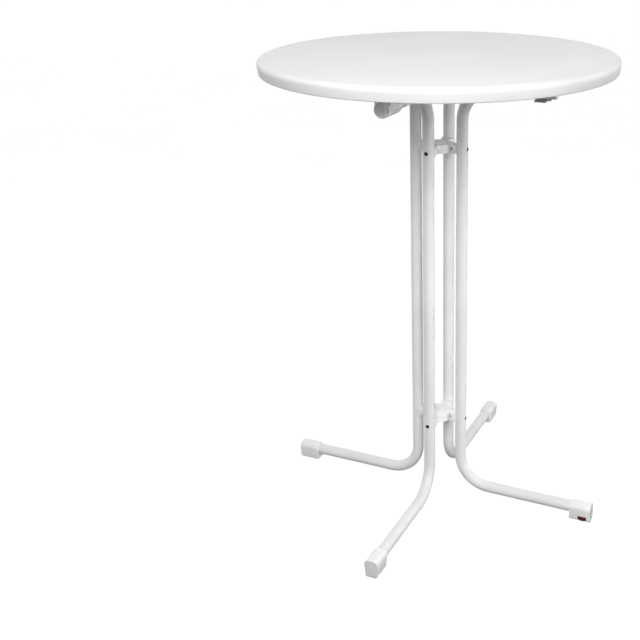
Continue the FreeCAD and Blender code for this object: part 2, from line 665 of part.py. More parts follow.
def catch_housing():
    plate_low = (PLATE_START, "-catch_plate_front", f"{UNDERSIDE} - catch_plate")
    solids = [block(plate_low, (PLATE_END, "catch_plate_back", UNDERSIDE))]
    seat_bottom = f"{ARM_AXIS} + {TUBE_RADIUS} + rest_gap + rest_pad_thickness"
    half = "rest_pad_width / 2"
    solids.append(block((PLATE_START, f"-{half}", seat_bottom), (PLATE_END, half, UNDERSIDE)))
    ear_radius = "catch_barrel_diameter / 2"
    hole_radius = "catch_pin_diameter / 2 + seat_gap"
    spaces = []
    for start, end in catch_ears():
        front, back = f"{PIN_Y} - {ear_radius}", f"{PIN_Y} + {ear_radius}"
        solids.append(pin_cylinder(ear_radius, start, end))
        solids.append(block((start, front, PIN_Z), (end, back, UNDERSIDE)))
        spaces.append(pin_cylinder(hole_radius, f"{start} - seat_gap", f"{end} + seat_gap"))
    spaces += [hole for side, hole in plate_holes("catch", "catch_plate")]
    return node("catch_housing", cut(fuse(*solids), *spaces))


def catch_pin():
    first, last = catch_ears()
    return node("catch_pin", pin_cylinder("catch_pin_diameter / 2", first[0], last[1]))


def rest_pad():
    bottom = f"{ARM_AXIS} + {TUBE_RADIUS} + rest_gap"
    half = "rest_pad_width / 2"
    top = f"{bottom} + rest_pad_thickness"
    return node("rest_pad", block((PLATE_START, f"-{half}", bottom), (PLATE_END, half, top)))


def tangent_arc(start, direction, end):
    """The arc that leaves start along direction and comes to end."""
    chord = end - start
    along = FreeCAD.Vector(chord).normalize()
    outward = direction - along * direction.dot(along)
    outward.normalize()
    bulge = chord.Length / 2 * math.tan(direction.getAngle(chord) / 2)
    return Part.Arc(start, start + chord / 2 + outward * bulge, end).toShape()


def biarc(start, leaving, end, arriving):
    """Two arcs that join two points along the given directions."""
    step = end - start
    both = leaving + arriving
    bend = 2 * (1 - leaving.dot(arriving))
    reach = (math.sqrt(step.dot(both) ** 2 + bend * step.dot(step)) - step.dot(both)) / bend
    middle = (start + leaving * reach + end - arriving * reach) / 2
    first = tangent_arc(start, leaving, middle)
    second = tangent_arc(end, arriving * -1, middle)
    return [first, second]


def coil_spring():
    """A coil round the catch pin, beside the hook's barrel, made of quarter turns."""
    radius = sheet.spring_diameter / 2
    pitch, turns, wire = sheet.spring_pitch, sheet.spring_turns, sheet.spring_wire
    per_turn = 4
    free = sheet.catch_width - sheet.catch_barrel_length
    first = sheet.catch_offset + sheet.catch_width / 2 - free / 2 - turns * pitch / 2
    pin_y = sheet.tube_diameter / 2 + sheet.catch_gap + sheet.catch_thickness / 2
    pin_z = sheet.table_height - sheet.top_thickness - sheet.arm_drop + sheet.catch_pin_rise

    def point(turn):
        angle = 2 * math.pi * turn
        across, up = radius * math.cos(angle), radius * math.sin(angle)
        return FreeCAD.Vector(first + pitch * turn, pin_y + across, pin_z + up)

    def direction(turn):
        angle = 2 * math.pi * turn
        slope = pitch / (2 * math.pi)
        return FreeCAD.Vector(slope, -radius * math.sin(angle), radius * math.cos(angle)).normalize()

    marks = [number / per_turn for number in range(int(turns * per_turn) + 1)]
    edges = []
    for here, there in zip(marks, marks[1:]):
        edges += biarc(point(here), direction(here), point(there), direction(there))
    path = Part.Wire(edges)
    section = Part.Wire(Part.Circle(point(0), direction(0), wire / 2).toShape())
    coil = Part.BRepOffsetAPI.MakePipeShell(path)
    coil.add(section)
    coil.build()
    coil.makeSolid()
    steps_per_turn, next_turn = 64, 0.5
    steps = [number / steps_per_turn for number in range(int(turns * steps_per_turn) + 1)]
    pairs = [(here, there) for here in steps for there in steps if there - here > next_turn]
    least = min(point(here).distanceToPoint(point(there)) for here, there in pairs)
    print(f"catch_spring: least gap between turns {least - wire:.2f} mm")
    feature = document.addObject("Part::Feature", "Coil")
    feature.Shape = coil.shape()
    return node("catch_spring", feature)


def level_spaces():
    """Spaces in the right foot cap: the wheel's well and side windows, and the stud's and nut's seats."""
    ceiling = f"({WHEEL_TOP} + level_gap)"
    below = "-level_gap"
    half = "level_window / 2"
    window_low = (f"{LEVEL_OFFSET} - {half}", "-cap_length", below)
    window_high = (f"{LEVEL_OFFSET} + {half}", "cap_length", ceiling)
    well_radius = "level_wheel_diameter / 2 + level_gap"
    stud_radius = "level_stud_diameter / 2 + level_gap"
    nut_top = f"{ceiling} + level_nut_height + seat_gap"
    floor = (LEVEL_OFFSET, "0", "0")
    return (
        cylinder(well_radius, f"{ceiling} + level_gap", (LEVEL_OFFSET, "0", below)),
        block(window_low, window_high),
        cylinder(stud_radius, "level_stud_top + level_gap", floor),
        hexagon("level_nut_width + 2 * seat_gap", nut_top, floor),
    )


def level_wheel():
    start = (LEVEL_OFFSET, "0", WHEEL_BOTTOM)
    rim = cylinder("level_wheel_diameter / 2", "level_wheel_thickness", start)
    grooves = []
    for number in range(GRIP_COUNT):
        angle = 360 * number / GRIP_COUNT
        ring = "(level_wheel_diameter / 2 + level_grip_diameter / 4)"
        at = (f"{LEVEL_OFFSET} + {ring} * cos({angle})", f"{ring} * sin({angle})", WHEEL_BOTTOM)
        grooves.append(cylinder("level_grip_diameter / 2", "level_wheel_thickness", at))
    bore = cylinder("level_stud_diameter / 2 + seat_gap", "level_wheel_thickness", start)
    return node("level_wheel", cut(rim, bore, *grooves))


def level_stud():
    bottom = "(level_pad_rise + level_pad_floor + seat_gap)"
    start = (LEVEL_OFFSET, "0", bottom)
    return node("level_stud", cylinder("level_stud_diameter / 2", f"level_stud_top - {bottom}", start))


def level_nut():
    start = (LEVEL_OFFSET, "0", f"{WHEEL_TOP} + level_gap")
    bore = cylinder("level_stud_diameter / 2 + running_gap", "level_nut_height", start)
    return node("level_nut", cut(hexagon("level_nut_width", "level_nut_height", start), bore))


def level_pad():
    start = (LEVEL_OFFSET, "0", "level_pad_rise")
    disc = cylinder("level_pad_diameter / 2", "level_pad_thickness", start)
    socket_start = (LEVEL_OFFSET, "0", "level_pad_rise + level_pad_floor")
    socket = cylinder("level_stud_diameter / 2 + running_gap", "level_pad_thickness", socket_start)
    return node("level_pad", cut(disc, socket))


post("post_front", FRONT, "hinge_arm_reach")
post("post_back", BACK, "hinge_arm_reach")
post("post_left", LEFT)
post("post_right", RIGHT, "catch_arm_reach")
foot_cap("foot_cap_front", FRONT)
foot_cap("foot_cap_back", BACK)
foot_cap("foot_cap_left", LEFT)
foot_cap("foot_cap_right", RIGHT, *level_spaces())
left_post_end = (POST_OFFSET[LEFT], "0", LEFT_POST_TOP)
node("left_post_plug", end_plug(TUBE_RADIUS, "plug_lip", left_post_end, LEFT, True))
node("right_arm_plug", end_plug(TUBE_RADIUS, "plug_lip", ("catch_arm_reach", "0", ARM_AXIS), RIGHT))
for place_name, place_side in (("front", FRONT), ("back", BACK)):
    arm_end = ("hinge_arm_reach", "0", ARM_AXIS)
    node(f"hinge_end_cap_{place_name}", end_plug("bracket_radius", "hinge_cap_lip", arm_end, place_side))
    hinge_bracket(f"hinge_bracket_{place_name}", place_side)
    hinge_bush(f"hinge_bush_{place_name}", place_side)
for level_name, joint_level in zip(("upper", "lower"), LEVELS):
    connector_arm(f"{level_name}_fixed_arm", joint_level, FIXED_SIDES, False)
    connector_arm(f"{level_name}_swing_arm", joint_level, SWING_SIDES, True)
for frame_name, frame_sides in (("fixed", FIXED_SIDES), ("swing", SWING_SIDES)):
    pairs = [(joint_level, side) for joint_level in LEVELS for side in frame_sides]
    node(f"{frame_name}_tube_screws", group(tube_screw(*pair) for pair in pairs))
    node(f"{frame_name}_tube_nuts", group(tube_nut(*pair) for pair in pairs))
node("pivot_bolts", group(pivot_bolt(joint_level) for joint_level in LEVELS))
sleeve_start = f"- {WEB} - sleeve_play"
sleeve_height = f"2 * ({WEB} + sleeve_play)"
sleeve_radius = "sleeve_diameter / 2"
sleeve_starts = [f"{joint_level} {sleeve_start}" for joint_level in LEVELS]
node("pivot_sleeves", group(pivot_ring(sleeve_radius, start, sleeve_height) for start in sleeve_starts))
node("pivot_washers", group(washer for joint_level in LEVELS for washer in pivot_washers(joint_level)))
node("pivot_nuts", group(pivot_nut(joint_level) for joint_level in LEVELS))
node("pivot_caps", group(pivot_cap(joint_level) for joint_level in LEVELS))
tabletop()
for kind_name, kind_plate in (("hinge", "bracket_foot_thickness"), ("catch", "catch_plate")):
    spots = [spot[1:] for spot in screw_spots() if spot[0] == kind_name]
    node(f"{kind_name}_screws", group(wood_screw(*spot, kind_plate) for spot in spots))
catch_housing()
catch_hook()
catch_pin()
rest_pad()
coil_spring()
level_wheel()
level_stud()
level_nut()
level_pad()
document.recompute()

for item in document.Objects:
    if "Invalid" in item.State or "Error" in item.State:
        raise RuntimeError(f"{item.Name} ({item.Label}) failed: {item.State}")
for label, item in nodes.items():
    if item.Shape.isNull() or not item.Shape.isValid():
        raise RuntimeError(f"{label} has no valid shape")
os.makedirs("parts", exist_ok=True)
for label, item in nodes.items():
    item.Shape.exportStep(f"parts/{label}.step")
    print(f"{label}: {len(item.Shape.Solids)} solid(s), {item.Shape.Volume / 1000:.2f} cm3")
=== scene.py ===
# %% [markdown]
# A folding standing table: a round white top on four bent white tubes that cross at two plastic
# connectors. The engineering model comes in first as a fixed frame.

# %% Load the imported table
import json
import math

import bmesh
import bpy
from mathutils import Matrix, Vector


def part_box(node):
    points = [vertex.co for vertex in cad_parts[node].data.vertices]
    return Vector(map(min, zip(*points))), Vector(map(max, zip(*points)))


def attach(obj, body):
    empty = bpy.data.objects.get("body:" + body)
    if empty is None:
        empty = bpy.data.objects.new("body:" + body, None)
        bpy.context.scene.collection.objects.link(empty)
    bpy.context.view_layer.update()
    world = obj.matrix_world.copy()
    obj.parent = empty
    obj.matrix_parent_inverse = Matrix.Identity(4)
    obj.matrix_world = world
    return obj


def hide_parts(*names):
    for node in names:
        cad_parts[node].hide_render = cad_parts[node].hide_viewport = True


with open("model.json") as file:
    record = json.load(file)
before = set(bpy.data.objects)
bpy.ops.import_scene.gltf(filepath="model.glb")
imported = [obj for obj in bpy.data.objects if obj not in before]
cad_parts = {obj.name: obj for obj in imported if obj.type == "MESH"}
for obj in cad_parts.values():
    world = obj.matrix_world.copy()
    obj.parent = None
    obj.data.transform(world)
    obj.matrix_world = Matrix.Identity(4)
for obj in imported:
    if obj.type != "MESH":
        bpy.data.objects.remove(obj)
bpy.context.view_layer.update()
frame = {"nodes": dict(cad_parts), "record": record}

# %% [markdown]
# The camera stands where the photographer stood: to the right of the front leg, a little above the
# top, looking down by 18 degrees. A longish lens keeps the posts nearly upright. The table is not in
# the middle of the picture, so the lens is shifted instead of turned, which keeps the perspective.
# The camera also leans by a fifth of a degree, because the posts lean a little in the photo.

# %% Camera
EYE = (0.8493, -2.0528, 1.4421)
LOOK_DOWN, LEAN, LOOK_LEFT = 0.3192, 0.0036, 0.3989
LENS_MM, SHIFT_X, SHIFT_Y = 56.22, -0.1743, -0.1527
QUARTER = math.pi / 2
bpy.ops.object.select_all(action="DESELECT")
bpy.ops.object.camera_add(location=EYE, rotation=(QUARTER - LOOK_DOWN, LEAN, LOOK_LEFT))
camera = bpy.context.object
camera.name = "photo_camera"
camera.data.lens = LENS_MM
camera.data.shift_x = SHIFT_X
camera.data.shift_y = SHIFT_Y
bpy.context.scene.camera = camera
print("camera", round(camera.location.xy.length, 3), "m from the centre axis")

# %% [markdown]
# A white studio: pale paper that runs out of sight, and large soft lamps. The two biggest stand near
# the camera, high and at mid height, so what faces the camera is bright and the posts fade to grey
# just below the wide top. Weaker ones stand on the right and behind, and a lamp lying on the floor
# stands for the light that white paper throws back.

# %% Floor and lamps
FLOOR_SIZE = 80.0
bpy.ops.object.select_all(action="DESELECT")
bpy.ops.mesh.primitive_plane_add(size=FLOOR_SIZE, location=(0.0, 0.0, 0.0))
floor = bpy.context.object
floor.name = "studio_floor"
floor.visible_diffuse = False
floor.visible_glossy = False


def softbox(name, power, size, place, aim=0.8, spread=180):
    """A large square lamp that looks at the table's centre axis, at the height it is aimed at."""
    bpy.ops.object.select_all(action="DESELECT")
    down = math.atan2(math.hypot(place[0], place[1]), place[2] - aim)
    bpy.ops.object.light_add(
        type="AREA", location=place, rotation=(down, 0.0, math.atan2(place[0], -place[1]))
    )
    lamp = bpy.context.object
    lamp.name = name
    lamp.data.energy = power
    lamp.data.size = size
    lamp.data.spread = math.radians(spread)
    lamp.visible_camera = False
    return lamp


softbox("front_softbox", power=62.0, size=1.6, place=(0.9, -2.2, 2.6))
softbox("middle_softbox", power=26.5, size=1.6, place=(0.95, -2.4, 1.95))
softbox("right_softbox", power=6.0, size=1.5, place=(3.0, -0.6, 1.3))
softbox("right_strip", power=2.6, size=0.8, place=(3.2, 0.0, 0.4), aim=0.45, spread=40)
softbox("back_softbox", power=15.4, size=1.5, place=(2.0, 2.0, 1.2))
softbox("back_wall", power=6.4, size=3.0, place=(-1.0, 2.6, 0.9), aim=0.9)
paper_glow = softbox("paper_glow", power=1.9, size=1.8, place=(0.0, 0.0, 0.001))
paper_glow.visible_glossy = False

# %% [markdown]
# The room gives light too. It is brightest behind the table and on the left: its reflection is what
# lights up the upper edges of the legs. Each bright side is a dot product of the looking direction
# with the way to that side, faded out before it reaches the next. The camera itself sees the room as
# plain white all round, so the table stands before the same white from every side.

# %% White room
WHITE = (1.0, 1.0, 1.0, 1.0)
ROOM_BACK, BACK_STRENGTH = (-0.37, 0.91, 0.17), 1.26
ROOM_LEFT, LEFT_STRENGTH = (-0.91, -0.37, 0.17), 0.62
FADED_OUT = 0.3
world = bpy.context.scene.world or bpy.data.worlds.new("white_room")
bpy.context.scene.world = world
world.use_nodes = True
nodes, links = world.node_tree.nodes, world.node_tree.links
way = nodes.new("ShaderNodeTexCoord")
room = nodes.new("ShaderNodeMath")
room_sides = ((ROOM_BACK, BACK_STRENGTH), (ROOM_LEFT, LEFT_STRENGTH))
for side, (toward, strength) in enumerate(room_sides):
    facing = nodes.new("ShaderNodeVectorMath")
    facing.operation = "DOT_PRODUCT"
    facing.inputs[1].default_value = toward
    links.new(way.outputs["Generated"], facing.inputs[0])
    fade = nodes.new("ShaderNodeMapRange")
    fade.inputs["From Min"].default_value = FADED_OUT
    fade.inputs["To Max"].default_value = strength
    links.new(facing.outputs["Value"], fade.inputs["Value"])
    links.new(fade.outputs["Result"], room.inputs[side])
seen = nodes.new("ShaderNodeLightPath")
shown = nodes.new("ShaderNodeMath")
shown.operation = "MAXIMUM"
links.new(room.outputs["Value"], shown.inputs[0])
links.new(seen.outputs["Is Camera Ray"], shown.inputs[1])
links.new(shown.outputs["Value"], nodes["Background"].inputs["Strength"])
nodes["Background"].inputs["Color"].default_value = WHITE
bpy.context.scene.view_settings.view_transform = "Standard"
print("room:", len(room_sides), "bright sides")

# %% [markdown]
# Every finish on this table is plain, but none is one flat colour. Powder coat has a faint orange
# peel, moulded plastic a fine grain, zinc a cloudy shine. So each finish is one shader with two
# noises: a wide one that drifts the colour a little, and a fine one that moves roughness and height.

# %% Finishes
FINISHES = {}
TONE_STOPS = (0.35, 0.65)
DRIFT_DETAIL, GRAIN_DETAIL = 3.0, 2.0
RELIEF = 0.25
PAPER_EMISSION = 0.9


def finish(slot, dark, light, drift, rough, grain, height, metal=0.0, stretch=(1.0, 1.0, 1.0)):
    """A surface whose colour drifts between two tones, with a fine grain in its gloss and height."""
    material = bpy.data.materials.new(slot)
    material.use_nodes = True
    nodes, links = material.node_tree.nodes, material.node_tree.links
    surface = nodes["Principled BSDF"]
    place = nodes.new("ShaderNodeTexCoord")
    turn = nodes.new("ShaderNodeMapping")
    turn.inputs["Scale"].default_value = stretch
    links.new(place.outputs["Object"], turn.inputs["Vector"])
    wide = nodes.new("ShaderNodeTexNoise")
    wide.inputs["Scale"].default_value = drift
    wide.inputs["Detail"].default_value = DRIFT_DETAIL
    fine = nodes.new("ShaderNodeTexNoise")
    fine.inputs["Scale"].default_value = grain
    fine.inputs["Detail"].default_value = GRAIN_DETAIL
    for noise in (wide, fine):
        links.new(turn.outputs["Vector"], noise.inputs["Vector"])
    tones = nodes.new("ShaderNodeValToRGB")
    for stop, position, tone in zip(tones.color_ramp.elements, TONE_STOPS, (dark, light)):
        stop.position = position
        stop.color = (*tone, 1.0)
    links.new(wide.outputs["Fac"], tones.inputs["Fac"])
    links.new(tones.outputs["Color"], surface.inputs["Base Color"])
    gloss = nodes.new("ShaderNodeMapRange")
    gloss.inputs["To Min"].default_value = rough[0]
    gloss.inputs["To Max"].default_value = rough[1]
    links.new(fine.outputs["Fac"], gloss.inputs["Value"])
    links.new(gloss.outputs["Result"], surface.inputs["Roughness"])
    relief = nodes.new("ShaderNodeBump")
    relief.inputs["Strength"].default_value = RELIEF
    relief.inputs["Distance"].default_value = height
    links.new(fine.outputs["Fac"], relief.inputs["Height"])
    links.new(relief.outputs["Normal"], surface.inputs["Normal"])
    surface.inputs["Metallic"].default_value = metal
    FINISHES[slot] = material
    return material


finish("tube_white", (0.76, 0.76, 0.765), (0.81, 0.81, 0.81),
       drift=9.0, rough=(0.36, 0.48), grain=900.0, height=0.00006)
finish("top_white", (0.79, 0.79, 0.79), (0.83, 0.83, 0.83),
       drift=4.0, rough=(0.40, 0.50), grain=1400.0, height=0.00003)
finish("plastic_white", (0.84, 0.84, 0.835), (0.89, 0.89, 0.885),
       drift=30.0, rough=(0.45, 0.58), grain=2200.0, height=0.00004)
finish("plastic_grey", (0.36, 0.36, 0.36), (0.42, 0.42, 0.42),
       drift=40.0, rough=(0.45, 0.6), grain=2200.0, height=0.00004)
# painted shade: a grey that stands in for the shade on the white end faces of the foot caps and in
# the sunk fields of the hinge caps
finish("painted_shade_grey", (0.66, 0.66, 0.66), (0.72, 0.72, 0.72),
       drift=40.0, rough=(0.5, 0.65), grain=2200.0, height=0.00004)
finish("bush_dark", (0.03, 0.03, 0.03), (0.05, 0.05, 0.05),
       drift=60.0, rough=(0.35, 0.5), grain=1800.0, height=0.00003)
finish("catch_dark", (0.40, 0.40, 0.405), (0.46, 0.46, 0.465),
       drift=50.0, rough=(0.42, 0.58), grain=2000.0, height=0.00004)
finish("screw_black", (0.006, 0.006, 0.006), (0.014, 0.014, 0.014),
       drift=120.0, rough=(0.5, 0.65), grain=2500.0, height=0.00002)
finish("steel", (0.50, 0.50, 0.51), (0.62, 0.62, 0.63),
       drift=90.0, rough=(0.22, 0.42), grain=1500.0, height=0.00002,
       metal=1.0, stretch=(1.0, 1.0, 0.2))
finish("pad_rubber", (0.03, 0.03, 0.03), (0.055, 0.055, 0.055),
       drift=70.0, rough=(0.7, 0.9), grain=1500.0, height=0.00006)
finish("wheel_red", (0.05, 0.004, 0.004), (0.08, 0.007, 0.007),
       drift=60.0, rough=(0.4, 0.55), grain=1800.0, height=0.00004)
paper = finish("studio_paper", (0.15, 0.15, 0.15), (0.17, 0.17, 0.17),
               drift=2.0, rough=(0.8, 0.9), grain=300.0, height=0.00005)
paper_surface = paper.node_tree.nodes["Principled BSDF"]
paper_surface.inputs["Emission Color"].default_value = WHITE
paper_surface.inputs["Emission Strength"].default_value = PAPER_EMISSION
floor.data.materials.append(paper)
print(len(FINISHES), "finishes")

# %% [markdown]
# Each new piece is modelled in place, in metres. These few helpers do what a hand does between two
# steps: start from a primitive, open it in edit mode, select by place, round an edge, apply a
# modifier, copy a finished piece, and give it its finish and the part of the frame it moves with.

# %% Hands
MERGE = 0.000005
NEAR = 0.0001


def alone(piece):
    """Select one piece and nothing else."""
    bpy.ops.object.select_all(action="DESELECT")
    piece.select_set(True)
    bpy.context.view_layer.objects.active = piece


def started(name):
    """Name the active piece and put its place into its mesh."""
    piece = bpy.context.object
    piece.name = name
    piece.data.name = name
    bpy.ops.object.transform_apply(location=True, rotation=True, scale=True)
    return piece


def disc(name, sides, radius, depth, middle, lying=False):
    """Start from a cylinder with its middle at a place, upright or lying along X."""
    bpy.ops.object.select_all(action="DESELECT")
    bpy.ops.mesh.primitive_cylinder_add(
        vertices=sides, radius=radius, depth=depth, location=middle,
        rotation=(0, QUARTER if lying else 0, 0),
    )
    return started(name)


def edit(piece):
    """Open one piece in edit mode, with all of it selected."""
    alone(piece)
    bpy.ops.object.mode_set(mode="EDIT")
    bpy.ops.mesh.select_all(action="SELECT")


def pick(kind, test):
    """In edit mode, select only the vertices, edges or faces whose middle passes a test."""
    bpy.ops.mesh.select_mode(type=kind)
    bpy.ops.mesh.select_all(action="DESELECT")
    data = bpy.context.edit_object.data
    mesh = bmesh.from_edit_mesh(data)
    for item in {"VERT": mesh.verts, "EDGE": mesh.edges, "FACE": mesh.faces}[kind]:
        if kind == "VERT":
            middle = item.co
        else:
            middle = sum((v.co for v in item.verts), start=item.verts[0].co * 0) / len(item.verts)
        item.select_set(bool(test(middle)))
    mesh.select_flush_mode()
    bmesh.update_edit_mesh(data)


def pull(x=0.0, y=0.0, z=0.0):
    """Extrude what is selected by a step."""
    bpy.ops.mesh.extrude_region_move(TRANSFORM_OT_translate={"value": (x, y, z)})


def eased(test, width, steps):
    """In edit mode, round off the edges whose middle passes a test."""
    pick("EDGE", test)
    bpy.ops.mesh.bevel(offset=width, segments=steps, profile=0.5, affect="EDGES")


def second_finish(piece, slot, test):
    """In edit mode, give a second finish to the faces whose middle passes a test."""
    piece.data.materials.append(FINISHES[slot])
    pick("FACE", test)
    piece.active_material_index = 1
    bpy.ops.object.material_slot_assign()


def smoothed(piece, angle=35):
    """Smooth the shading, apart from edges that are sharper than an angle in degrees."""
    alone(piece)
    bpy.ops.object.shade_smooth_by_angle(angle=math.radians(angle))
    return piece


def closed(piece, angle=35):
    """Leave edit mode with faces pointing outwards, and smooth all but the sharp edges."""
    bpy.ops.mesh.select_all(action="SELECT")
    bpy.ops.mesh.remove_doubles(threshold=MERGE)
    bpy.ops.mesh.normals_make_consistent(inside=False)
    bpy.ops.object.mode_set(mode="OBJECT")
    return smoothed(piece, angle)


def with_modifier(piece, kind, **settings):
    """Add a modifier to a piece and apply it."""
    alone(piece)
    modifier = piece.modifiers.new(kind.lower(), kind)
    for key, value in settings.items():
        setattr(modifier, key, value)
    bpy.ops.object.modifier_apply(modifier=modifier.name)


def carved(piece, *tools, operation="DIFFERENCE"):
    """Cut the tools out of a piece, or cut it down to them, and remove them."""
    for tool in tools:
        with_modifier(piece, "BOOLEAN", operation=operation, object=tool, solver="EXACT")
        bpy.data.objects.remove(tool)


def copied(piece, name, turn=0.0, move=(0.0, 0.0, 0.0)):
    """A copy with its own mesh, turned about the centre axis and moved."""
    alone(piece)
    bpy.ops.object.duplicate(linked=False)
    twin = bpy.context.object
    twin.rotation_euler = (0.0, 0.0, math.radians(turn))
    twin.location = move
    return started(name)


def fitted(piece, slot, body, *nodes):
    """Give a piece its finish, its moving body and the solids that it stands for."""
    if len(piece.data.materials) < 2:
        piece.data.materials.clear()
        piece.data.materials.append(FINISHES[slot])
    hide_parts(*nodes)
    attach(piece, body)
    print(piece.name, len(piece.data.polygons), "faces on", body)


# %% [markdown]
# Each post is one steel tube, bent at the foot into a leg and, on three of the four, at the head
# into an arm. A bent tube could be a curve with a round bevel. Here a disc is drawn along the same
# way the tube was bent: pulled straight, spun through a quarter turn, and pulled on, so the bends
# are true arcs and the ends are closed.

# %% Bent tubes
TUBE, TUBE_SIDES = 0.0135, 48
FIXED_POST, SWING_POST = 0.0615, 0.0575
LEG_Z, LEG_END = 0.027, 0.360
ARM_Z, HINGE_ARM_END, RIGHT_ARM_END = 1.032, 0.293, 0.272
LEFT_POST_TOP = 0.984
BEND, BEND_STEPS = 0.075, 18
FRONT, BACK, LEFT, RIGHT = -90, 90, 180, 0
BODY_OF = {
    "front": "main_frame", "back": "main_frame", "left": "swing_frame", "right": "swing_frame",
}


def quarter_bend(x, z):
    """Spin the tube's open end through a quarter turn."""
    bpy.ops.mesh.spin(steps=BEND_STEPS, angle=-QUARTER, center=(x, 0, z), axis=(0, 1, 0))


def bent_tube(name, post, arm_end=None, post_top=None):
    """A tube for the right-hand side, from the leg's end to the arm's end or the post's top."""
    bpy.ops.object.select_all(action="DESELECT")
    bpy.ops.mesh.primitive_circle_add(
        vertices=TUBE_SIDES, radius=TUBE, fill_type="NGON", location=(LEG_END, 0, LEG_Z),
        rotation=(0, QUARTER, 0),
    )
    tube = started(name)
    edit(tube)
    pull(x=post + BEND - LEG_END)
    quarter_bend(post + BEND, LEG_Z + BEND)
    if arm_end is None:
        pull(z=post_top - LEG_Z - BEND)
    else:
        pull(z=ARM_Z - BEND - LEG_Z - BEND)
        quarter_bend(post + BEND, ARM_Z - BEND)
        pull(x=arm_end - post - BEND)
    return closed(tube, 40)


hinge_tube = bent_tube("hinge_tube", FIXED_POST, arm_end=HINGE_ARM_END)
front_tube = copied(hinge_tube, "tube_front", FRONT)
back_tube = copied(hinge_tube, "tube_back", BACK)
bpy.data.objects.remove(hinge_tube)
right_tube = bent_tube("tube_right", SWING_POST, arm_end=RIGHT_ARM_END)
straight_tube = bent_tube("straight_tube", SWING_POST, post_top=LEFT_POST_TOP)
left_tube = copied(straight_tube, "tube_left", LEFT)
bpy.data.objects.remove(straight_tube)
fitted(front_tube, "tube_white", "main_frame", "post_front")
fitted(back_tube, "tube_white", "main_frame", "post_back")
fitted(right_tube, "tube_white", "swing_frame", "post_right")
fitted(left_tube, "tube_white", "swing_frame", "post_left")

# %% [markdown]
# The top is a round board under a satin white coat, with a soft shoulder above, a rim that draws in
# towards the underside and a shallow lip round its lower edge. A turned profile would do, but a
# cylinder with its lower loop drawn in and both rims bevelled is quicker to read. A narrow inset
# keeps the flat faces flat in the shading, and a second one below is pushed up to leave the lip.

# %% Round top
TOP_Z, UNDERSIDE, LIP_Z = 1.100, 1.070, 1.069
UPPER_LOOP, LOWER_LOOP, RIM_SIDES = 0.4018, 0.3970, 256
SHOULDER, LOWER_EDGE = 0.0128, 0.0025
FLAT_BORDER, LIP_SLOPE = 0.002, 0.003
board = disc("round_top", RIM_SIDES, UPPER_LOOP, TOP_Z - LIP_Z, (0, 0, (TOP_Z + LIP_Z) / 2))
edit(board)
pick("VERT", lambda p: p.z < LIP_Z + NEAR)
drawn_in = LOWER_LOOP / UPPER_LOOP
bpy.ops.transform.resize(value=(drawn_in, drawn_in, 1.0), center_override=(0, 0, LIP_Z))
eased(lambda p: p.z > TOP_Z - NEAR, SHOULDER, 10)
eased(lambda p: p.z < LIP_Z + NEAR, LOWER_EDGE, 5)
for height in (TOP_Z, LIP_Z):
    pick("FACE", lambda p: abs(p.z - height) < NEAR and p.xy.length < NEAR)
    bpy.ops.mesh.inset(thickness=FLAT_BORDER)
bpy.ops.mesh.inset(thickness=LIP_SLOPE)
bpy.ops.transform.translate(value=(0, 0, UNDERSIDE - LIP_Z))
closed(board, 40)
fitted(board, "top_white", "tabletop", "tabletop")

# %% [markdown]
# A white plastic cap closes each leg and stands on the floor. It starts with a small lip round the
# tube, has a rounded back, sides that lean in to a narrower sole, and a flat end. It begins as an
# upright plane whose two upper corners are bevelled round, which gives the section; the rest is
# pulled from that, and the white end face is painted grey: painted shade for the shade that falls on
# it.

# %% Foot caps
CAP_START, CAP_FULL, CAP_END = 0.345, 0.353, 0.3965
CAP_TOP, CROWN_Z, CORNER = 0.042, 0.0255, 0.013
SHOULDER_HALF, SOLE_HALF = 0.0178, 0.0135
LIP_SHARE, LIP_LOW = 0.95, 0.002
END_EDGE, SOLE_EDGE, LIP_EDGE = 0.0008, 0.0012, 0.0005
bpy.ops.object.select_all(action="DESELECT")
middle = (CAP_FULL, 0, CAP_TOP / 2)
bpy.ops.mesh.primitive_plane_add(size=CAP_TOP, location=middle, rotation=(0, QUARTER, 0))
cap = started("foot_cap")
edit(cap)
bpy.ops.transform.resize(value=(1, 2 * SHOULDER_HALF / CAP_TOP, 1), center_override=middle)
pick("VERT", lambda p: p.z < NEAR)
bpy.ops.transform.resize(value=(1, SOLE_HALF / SHOULDER_HALF, 1), center_override=(CAP_FULL, 0, 0))
pick("VERT", lambda p: p.z > CAP_TOP - NEAR)
bpy.ops.mesh.bevel(offset=CORNER, segments=14, profile=0.5, affect="VERTICES")
bpy.ops.mesh.select_all(action="SELECT")
pull(x=CAP_END - CAP_FULL)
pick("FACE", lambda p: p.x < CAP_FULL + NEAR)
pull(x=CAP_START - CAP_FULL)
pick("VERT", lambda p: p.x < CAP_START + NEAR and p.z > NEAR)
bpy.ops.transform.resize(value=(1, LIP_SHARE, LIP_SHARE), center_override=(CAP_START, 0, CROWN_Z))
eased(lambda p: p.x > CAP_END - NEAR and p.z > NEAR, END_EDGE, 3)
eased(lambda p: p.z < NEAR and abs(p.y) > SOLE_HALF - NEAR, SOLE_EDGE, 3)
eased(lambda p: p.x < CAP_START + NEAR and p.z > LIP_LOW, LIP_EDGE, 2)
cap.data.materials.append(FINISHES["plastic_white"])
# painted shade: the end face is white plastic, painted grey for the shade on it
second_finish(cap, "painted_shade_grey", lambda p: p.x > CAP_END - NEAR)
closed(cap)
caps = {
    "front": copied(cap, "foot_cap_front_shell", FRONT),
    "back": copied(cap, "foot_cap_back_shell", BACK),
    "left": copied(cap, "foot_cap_left_shell", LEFT),
    "right": copied(cap, "foot_cap_right_shell", RIGHT),
}
bpy.data.objects.remove(cap)

# %% [markdown]
# The right-hand cap also holds the levelling wheel, so it has a round well underneath and a window
# in each side where a thumb turns the wheel. Both are cut with booleans, as a mould core would.

